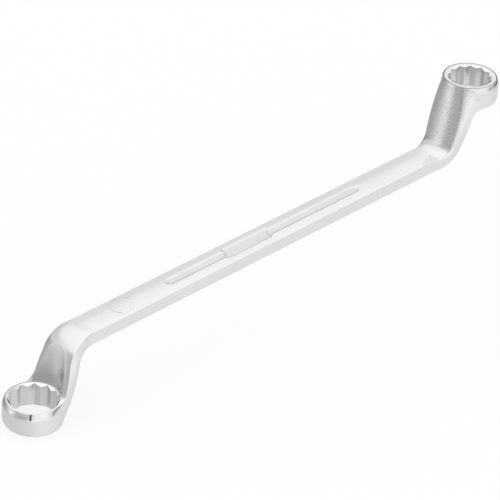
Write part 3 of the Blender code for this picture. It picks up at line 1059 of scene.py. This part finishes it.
@dataclass(frozen=True)
class Bore:
    """A twelve-point bore, its lead-ins and the spot face that clears the neck.

    Attributes:
        head: The head that it is cut in.
        place: Middle of the head's outer face.
        sense: Which way the inner face looks.
        clearance: Height of the spot face's cutter above the outer face.
        points: Number of points.
        tip_radius: Rounding of the points.
        land_radius: Rounding of the lands between the points.
        lead_in: How far the lead-ins reach past the points.
        inner_angle: Slope of the lead-in at the inner face.
        outer_angle: Slope of the lead-in at the outer face.
        margin: How far the spot face reaches past the lead-in.
        depth: Depth of the spot face.
        draft: Slope of the wall that clears the neck.
        round_segments: Facets of each rounding.
        segments: Facets round the turned cutters.
    """

    head: Head
    place: Vector
    sense: Sense
    clearance: float
    points: int = 12
    tip_radius: float = 0.35 * MM
    land_radius: float = 0.25 * MM
    lead_in: float = 0.2 * MM
    inner_angle: float = math.radians(45.0)
    outer_angle: float = math.radians(24.0)
    margin: float = 0.2 * MM
    depth: float = 0.2 * MM
    draft: float = math.radians(5.0)
    round_segments: int = 4
    segments: int = 144

    def star(self) -> BMesh:
        """Builds the cutter of the points.

        Returns:
            The outline of two hexagons, one turned by half a point, drawn out to a bar.
        """
        head = self.head
        tip = head.bore / 2 / HEXAGON
        land = head.bore / 2 / math.cos(math.pi / self.points)
        bm = bmesh.new()
        bmesh.ops.create_circle(bm, cap_ends=True, segments=2 * self.points, radius=1.0)
        bm.verts.ensure_lookup_table()
        for index, vert in enumerate(bm.verts):
            angle = head.bore_turn + math.pi * index / self.points
            radius = land if index % 2 else tip
            vert.co = Vector((radius * math.cos(angle), radius * math.sin(angle), -OVERRUN))
        tips = [vert for vert in bm.verts if vert.co.xy.length > (tip + land) / 2]
        lands = [vert for vert in bm.verts if vert not in tips]
        for corners, radius in ((tips, self.tip_radius), (lands, self.land_radius)):
            bmesh.ops.bevel(
                bm, geom=corners, offset=radius, offset_type="OFFSET", affect="VERTICES",
                segments=self.round_segments, profile=0.5, material=-1, clamp_overlap=True,
            )
        drawn = bmesh.ops.extrude_face_region(bm, geom=bm.faces[:])["geom"]
        raised = [item for item in drawn if isinstance(item, bmesh.types.BMVert)]
        bmesh.ops.translate(bm, verts=raised, vec=(0.0, 0.0, head.height + 2 * OVERRUN))
        return self.placed(bm)

    def placed(self, bm: BMesh) -> BMesh:
        """Turns a cutter the head's way up and puts it in its place.

        Args:
            bm: The cutter, with the middle of the outer face at its origin.

        Returns:
            The same bmesh.
        """
        flip = Matrix.Diagonal((1.0, 1.0, self.sense.value, 1.0))
        bmesh.ops.transform(bm, matrix=Matrix.Translation(self.place) @ flip, verts=bm.verts)
        return bm

    def mouths(self) -> BMesh:
        """Builds the turned cutter of the lead-ins and the spot face.

        Returns:
            The profile spun round the bore's axis.
        """
        head = self.head
        core = head.bore / 2
        mouth = core / HEXAGON + self.lead_in
        seat = head.height - self.depth
        spot = mouth + self.margin
        profile = [
            (0.0, -OVERRUN),
            (mouth + OVERRUN / math.tan(self.outer_angle), -OVERRUN),
            (core, (mouth - core) * math.tan(self.outer_angle)),
            (core, seat - (mouth - core) * math.tan(self.inner_angle)),
            (mouth, seat),
            (spot, seat),
            (spot + (self.clearance - seat) * math.tan(self.draft), self.clearance),
            (0.0, self.clearance),
        ]
        bm = bmesh.new()
        turn = Matrix.Rotation(head.bore_turn + math.pi / self.segments, 3, "Z")
        corners = [bm.verts.new(turn @ Vector((radius, 0.0, height))) for radius, height in profile]
        edges = [bm.edges.new(pair) for pair in zip(corners, corners[1:])]
        bmesh.ops.spin(
            bm, geom=corners + edges, cent=(0.0, 0.0, 0.0), axis=(0.0, 0.0, 1.0),
            angle=math.tau, steps=self.segments, use_merge=True,
        )
        bmesh.ops.remove_doubles(bm, verts=bm.verts, dist=WELD)
        for face in bm.faces:
            lowest = min(vert.co.z for vert in face.verts)
            if lowest > seat - WELD and face.calc_center_median().z > seat + WELD:
                face.material_index = MouthSlot.CLEARED_WALL
        return self.placed(bm)


@dataclass(frozen=True)
class SunkPanel:
    """A shallow panel pressed into the shank's upper face, with sloping walls.

    Attributes:
        name: The panel's name.
        length: Length at the face, along its middle.
        width: Width at the face.
        depth: Depth below the top of the face's crown.
        wall: Width that the walls slope over.
        shift: Place of its middle along the shank.
        corner: Radius of its corners.
        slant: Angle by which its ends lean.
        segments: Facets round each corner.
    """

    name: str
    length: float
    width: float
    depth: float
    wall: float
    shift: float
    corner: float
    slant: float = 0.0
    segments: int = 16

    def cutter(self, top: float) -> BMesh:
        """Builds the panel's cutter.

        Args:
            top: Height of the crown's top above the middle of the section.

        Returns:
            The cutter, in the shank's axes.
        """
        spread = self.wall / self.depth * OVERRUN
        side = self.width / 2 - self.wall
        radius = self.corner - self.wall
        half = self.length / 2 - self.corner + radius / math.cos(self.slant)
        lean = side * math.tan(self.slant)
        bm = bmesh.new()
        corners = [
            bm.verts.new((self.shift + end * half + way * lean, way * side, top - self.depth))
            for end, way in ((-1, -1), (1, -1), (1, 1), (-1, 1))
        ]
        bm.faces.new(corners)
        for pair, lean_way in ((corners[0::2], 1.0), (corners[1::2], -1.0)):
            angle = math.pi / 2 - lean_way * self.slant
            bmesh.ops.bevel(
                bm, geom=pair, offset=radius / math.tan(angle / 2), offset_type="OFFSET",
                affect="VERTICES", segments=self.segments, profile=0.5, material=-1,
            )
        drawn = bmesh.ops.extrude_face_region(bm, geom=bm.faces[:])["geom"]
        mouth = [item for item in drawn if isinstance(item, bmesh.types.BMFace)]
        bmesh.ops.inset_region(bm, faces=mouth, thickness=-self.wall - spread, use_even_offset=True)
        raised = list({vert for item in mouth for vert in item.verts})
        bmesh.ops.translate(bm, verts=raised, vec=(0.0, 0.0, self.depth + OVERRUN))
        bmesh.ops.remove_doubles(bm, verts=bm.verts, dist=WELD)
        return bm


@dataclass(frozen=True)
class RaisedPad:
    """A round pad that stands on the shank's upper face, with a softened edge.

    Attributes:
        diameter: Its diameter.
        height: How far it stands out of the face.
        shift: Place of its middle along the shank.
        edge: Rounding of its edge.
        edge_segments: Facets of the rounding.
        segments: Facets round it.
        rings: Rings of facets across its top.
    """

    diameter: float = 12.2 * MM
    height: float = 0.3 * MM
    shift: float = -89.9 * MM
    edge: float = 0.12 * MM
    edge_segments: int = 3
    segments: int = 96
    rings: int = 6

    def blank(self, shank: Flank) -> BMesh:
        """Builds the pad, whose top follows the shank's crown.

        Args:
            shank: The shank's broad side.

        Returns:
            The pad, in the shank's axes.
        """
        depth = shank.edge + self.height
        middle = Vector((self.shift, 0.0, shank.height() + self.height - depth / 2))
        bm = bmesh.new()
        bmesh.ops.create_cone(
            bm, cap_ends=True, segments=self.segments, radius1=self.diameter / 2,
            radius2=self.diameter / 2, depth=depth, matrix=Matrix.Translation(middle),
        )
        rim = [edge for edge in bm.edges if min(vert.co.z for vert in edge.verts) > middle.z]
        bmesh.ops.bevel(
            bm, geom=rim, offset=self.edge, offset_type="OFFSET", affect="EDGES",
            segments=self.edge_segments, profile=0.5, material=-1,
        )
        cap = max(bm.faces, key=lambda face: face.calc_center_median().z)
        for _ in range(self.rings):
            step = self.diameter / 2 / (self.rings + 1)
            bmesh.ops.inset_region(bm, faces=[cap], thickness=step, use_even_offset=True)
        crown = shank.crown
        for vert in bm.verts:
            if vert.co.z > middle.z:
                vert.co.z += math.sqrt(crown**2 - vert.co.y**2) - crown
        return bm


@dataclass(frozen=True)
class RingSpanner:
    """The finished spanner: the forging, machined and plated.

    Attributes:
        forging: The forging.
        pad: The pad on its shank.
        panels: The sunk panels, in the order in which they are pressed.
        sharp_angle: Turn between two facets past which their edge is crisp.
        plane_corners: Corners past which a facet may be a whole plane face.
        plane_girth: Length round it past which it is one, with crisp edges.
    """

    forging: Forging = Forging()
    pad: RaisedPad = RaisedPad()
    panels: tuple[SunkPanel, ...] = (
        SunkPanel("strip", 128.5 * MM, 6.4 * MM, 0.6 * MM, 1.5 * MM, 2.0 * MM, 3.15 * MM),
        SunkPanel(
            "label", 31.0 * MM, 9.6 * MM, 1.1 * MM, 1.9 * MM, -9.3 * MM, 2.2 * MM,
            slant=math.radians(21.0),
        ),
    )
    sharp_angle: float = math.radians(25.0)
    plane_corners: int = 8
    plane_girth: float = 8.0 * MM

    def build(self) -> Object:
        """Builds the spanner and puts it on its body.

        Returns:
            The finished piece.
        """
        forging = self.forging
        shank = forging.shank
        forged, machined, faced, painted_rim_shade, cleared, recessed = (
            finish.material() for finish in (FORGED, MACHINED, FACED, PAINTED_RIM_SHADE, CLEARED, RECESSED)
        )
        body = new_object("spanner_forging", forging.blank(), forged, faced, painted_rim_shade)
        pad = new_object("pad", forging.in_frame(self.pad.blank(shank)), forged)
        machine(body, pad, Cut.JOIN)
        for panel in self.panels:
            cutter = forging.in_frame(panel.cutter(shank.height()))
            machine(body, new_object(panel.name, cutter, recessed), Cut.REMOVE)
        for head, sense in ((forging.large, Sense.UP), (forging.small, Sense.DOWN)):
            bore = Bore(head, forging.place(head), sense, head.offset + shank.edge)
            machine(body, new_object("mouths", bore.mouths(), faced, cleared), Cut.REMOVE)
            machine(body, new_object("star", bore.star(), machined), Cut.REMOVE)
        self.soften(body)
        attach(body, "root")
        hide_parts("ring_spanner")
        LOG.info("%s: %d faces", body.name, len(body.data.polygons))
        return body

    def soften(self, body: Object) -> None:
        """Smooths the shading, with crisp edges where two worked surfaces meet.

        Args:
            body: The machined forging.
        """
        mesh = body.data
        mesh.shade_smooth()
        mesh.set_sharp_from_angle(angle=self.sharp_angle)
        bm = bmesh.new()
        bm.from_mesh(mesh)
        for face in bm.faces:
            if len(face.verts) > self.plane_corners and face.calc_perimeter() > self.plane_girth:
                for edge in face.edges:
                    edge.smooth = False
        bm.to_mesh(mesh)
        bm.free()


# Studio


@dataclass(frozen=True)
class Sweep:
    """Brightness of one height of the tent all the way round.

    Attributes:
        stops: Pairs of a direction, in degrees from +X towards +Y, and a brightness.
    """

    stops: tuple[Point, ...]

    def add(self, bench: NodeBench, turn: Socket) -> Socket:
        """Adds the sweep's colour ramp.

        Args:
            bench: The bench of the world's tree.
            turn: The direction as a share of a full turn.

        Returns:
            The ramp's colour socket.
        """
        (near, first), (far, last) = self.stops[0], self.stops[-1]
        rest = FULL_TURN - far
        seam = between(last, first, rest / (rest + near))
        closed = ((0.0, seam), *self.stops, (FULL_TURN, seam))
        return bench.ramp(turn, tuple((place / FULL_TURN, level) for place, level in closed))


@dataclass(frozen=True)
class Post:
    """A dark post that stands beside the spanner and shows only in its chrome.

    Attributes:
        place: Where it stands.
        radius: Its radius.
        low: Height of its foot.
        high: Height of its top.
        colour: Colour of its paint where it is lightest.
        flecks: Flecks of the paint per metre.
        segments: Facets round it.
    """

    place: Point = (-292.9 * MM, -136.6 * MM)
    radius: float = 10.5 * MM
    low: float = -46.0 * MM
    high: float = 140.0 * MM
    colour: Colour = (0.05, 0.05, 0.05, 1.0)
    flecks: float = 400.0
    segments: int = 32

    def build(self) -> Object:
        """Sets up the post.

        Returns:
            The post, hidden from the camera.
        """
        bm = bmesh.new()
        middle = Vector((*self.place, between(self.low, self.high, 0.5)))
        bmesh.ops.create_cone(
            bm, cap_ends=True, segments=self.segments, radius1=self.radius, radius2=self.radius,
            depth=self.high - self.low, matrix=Matrix.Translation(middle),
        )
        made, bench = new_material("post_paint")
        level = bench.noise(bench.add("TexCoord").outputs["Object"], FLECKS, self.flecks)
        paint = bench.add("BsdfDiffuse", Color=bench.blend(level, BLACK, self.colour))
        bench.add("OutputMaterial", Surface=paint.outputs[0])
        post = new_object("post", bm, made)
        post.visible_camera = post.visible_diffuse = post.visible_shadow = False
        return post


@dataclass(frozen=True)
class Studio:
    """A pale floor and a dark post in a light tent, and a camera at the photograph's angle.

    Attributes:
        floor_size: Side of the floor.
        floor_colour: Colour of the floor.
        floor_glow: Share of plain white that the camera sees in the floor.
        dome: Brightness of the tent's roof, by height above the horizon in degrees.
        eaves: Brightness of the tent's walls, high up.
        wall: Brightness of the tent's walls near the horizon.
        skirt: Brightness of the table's far parts, under the walls.
        table: Brightness of the table's near parts.
        starts: Heights, in degrees, over which the skirt, the wall, the eaves and the dome each
            take over from what lies below.
        post: The dark post beside the large ring.
        camera_place: Where the camera stands.
        camera_turn: Its turns about X, Y and Z, in degrees.
        lens: Its focal length, in millimetres.
        sensor: Width of its sensor, in millimetres.
    """

    floor_size: float = 6.0
    floor_colour: Colour = (0.97, 0.97, 0.97, 1.0)
    floor_glow: float = 0.80
    dome: tuple[Point, ...] = (
        (0.0, 0.74), (18.0, 0.78), (26.0, 0.86), (34.0, 0.93), (42.0, 0.98), (50.0, 1.03), (60.0, 1.07),
        (90.0, 1.08),
    )
    eaves: Sweep = Sweep((
        (15.0, 0.76), (40.0, 0.80), (62.0, 0.83), (82.0, 0.62), (110.0, 0.68), (132.0, 0.80),
        (150.0, 0.80), (160.0, 0.64), (172.0, 0.54), (190.0, 0.60), (212.0, 0.60), (224.0, 0.70),
        (236.0, 0.94), (258.0, 1.08), (286.0, 1.02), (302.0, 0.86), (318.0, 0.66), (340.0, 0.68),
    ))
    wall: Sweep = Sweep((
        (8.0, 0.08), (40.0, 0.05), (70.0, 0.06), (84.0, 0.10), (100.0, 0.28), (112.0, 0.40),
        (130.0, 0.66), (148.0, 0.97), (158.0, 0.84), (167.0, 0.52), (190.0, 0.44), (206.0, 0.52),
        (226.0, 0.78), (238.0, 0.93), (262.0, 1.02), (288.0, 0.94), (305.0, 0.76), (311.0, 0.30),
        (317.0, 0.60), (324.0, 0.58), (336.0, 0.34), (352.0, 0.14),
    ))
    skirt: Sweep = Sweep((
        (20.0, 0.72), (60.0, 0.70), (80.0, 0.42), (105.0, 0.44), (120.0, 0.50), (140.0, 0.70),
        (152.0, 0.68), (168.0, 0.52), (188.0, 0.57), (204.0, 0.68), (220.0, 0.88), (236.0, 1.02),
        (268.0, 1.00), (290.0, 0.95), (312.0, 0.86), (330.0, 0.74), (350.0, 0.66),
    ))
    table: Sweep = Sweep((
        (20.0, 0.74), (90.0, 0.68), (170.0, 0.70), (215.0, 0.78), (255.0, 0.88), (300.0, 0.88),
        (340.0, 0.82),
    ))
    starts: tuple[Point, ...] = ((-28.0, -20.0), (-13.0, -9.0), (7.0, 15.0), (26.0, 36.0))
    post: Post = Post()
    camera_place: tuple[float, float, float] = (-0.89617, -0.93902, 0.84903)
    camera_turn: tuple[float, float, float] = (58.0912, -2.9936, -41.5944)
    lens: float = 220.136
    sensor: float = 36.0

    def floor(self) -> Object:
        """Lays the floor.

        Returns:
            The floor.
        """
        bm = bmesh.new()
        bmesh.ops.create_grid(bm, x_segments=1, y_segments=1, size=self.floor_size / 2)
        made, bench = new_material("floor_paper")
        rays = bench.add("LightPath")
        share = bench.maths("MULTIPLY", rays.outputs["Is Camera Ray"], self.floor_glow)
        paper = bench.add("BsdfDiffuse", Color=self.floor_colour)
        glow = bench.add("Emission", Color=WHITE, Strength=1.0)
        bench.add("OutputMaterial", Surface=bench.mixed(share, paper, glow))
        floor = new_object("floor", bm, made)
        floor.visible_glossy = False
        return floor

    def tent(self) -> None:
        """Lights the scene with a plain white tent, whose shading only the chrome shows."""
        world = bpy.data.worlds.new("tent")
        world.use_nodes = True
        bpy.context.scene.world = world
        bench = NodeBench(world.node_tree)
        parts = bench.add("SeparateXYZ", Vector=bench.add("TexCoord").outputs["Generated"])
        rise = bench.maths("DEGREES", bench.maths("ARCSINE", parts.outputs["Z"]))
        turn = bench.maths("ARCTAN2", parts.outputs["Y"], parts.outputs["X"])
        turn = bench.maths("FRACT", bench.maths("DIVIDE", turn, math.tau))
        height = bench.maths("DIVIDE", rise, ZENITH)
        roof = bench.ramp(height, tuple((place / ZENITH, level) for place, level in self.dome))
        sweeps = (self.table, self.skirt, self.wall, self.eaves)
        whole, *uppers = (sweep.add(bench, turn) for sweep in sweeps)
        for (low, high), upper in zip(self.starts, (*uppers, roof)):
            whole = bench.blend(bench.span(rise, (low, 0.0), (high, 1.0)), whole, upper)
        plain = bench.add("Background", Color=WHITE, Strength=1.0)
        shaded = bench.add("Background", Color=whole, Strength=1.0)
        chrome = bench.add("LightPath").outputs["Is Glossy Ray"]
        bench.add("OutputWorld", Surface=bench.mixed(chrome, plain, shaded))

    def camera(self) -> Object:
        """Sets up the camera.

        Returns:
            The camera, made the scene's own.
        """
        data = bpy.data.cameras.new("camera")
        data.sensor_width = self.sensor
        data.lens = self.lens
        made = bpy.data.objects.new("camera", data)
        made.location = self.camera_place
        made.rotation_euler = [math.radians(angle) for angle in self.camera_turn]
        bpy.context.scene.collection.objects.link(made)
        bpy.context.scene.camera = made
        return made

    def build(self) -> None:
        """Builds the floor, the post, the light and the camera."""
        bpy.context.scene.view_settings.view_transform = "Standard"
        self.floor()
        self.post.build()
        self.tent()
        self.camera()
        LOG.info("studio: floor, post, tent and camera")


def main() -> None:
    """Builds the spanner and the studio."""
    logging.basicConfig(level=logging.INFO, format="%(name)s: %(message)s")
    RingSpanner().build()
    Studio().build()


if __name__ == "__main__":
    main()
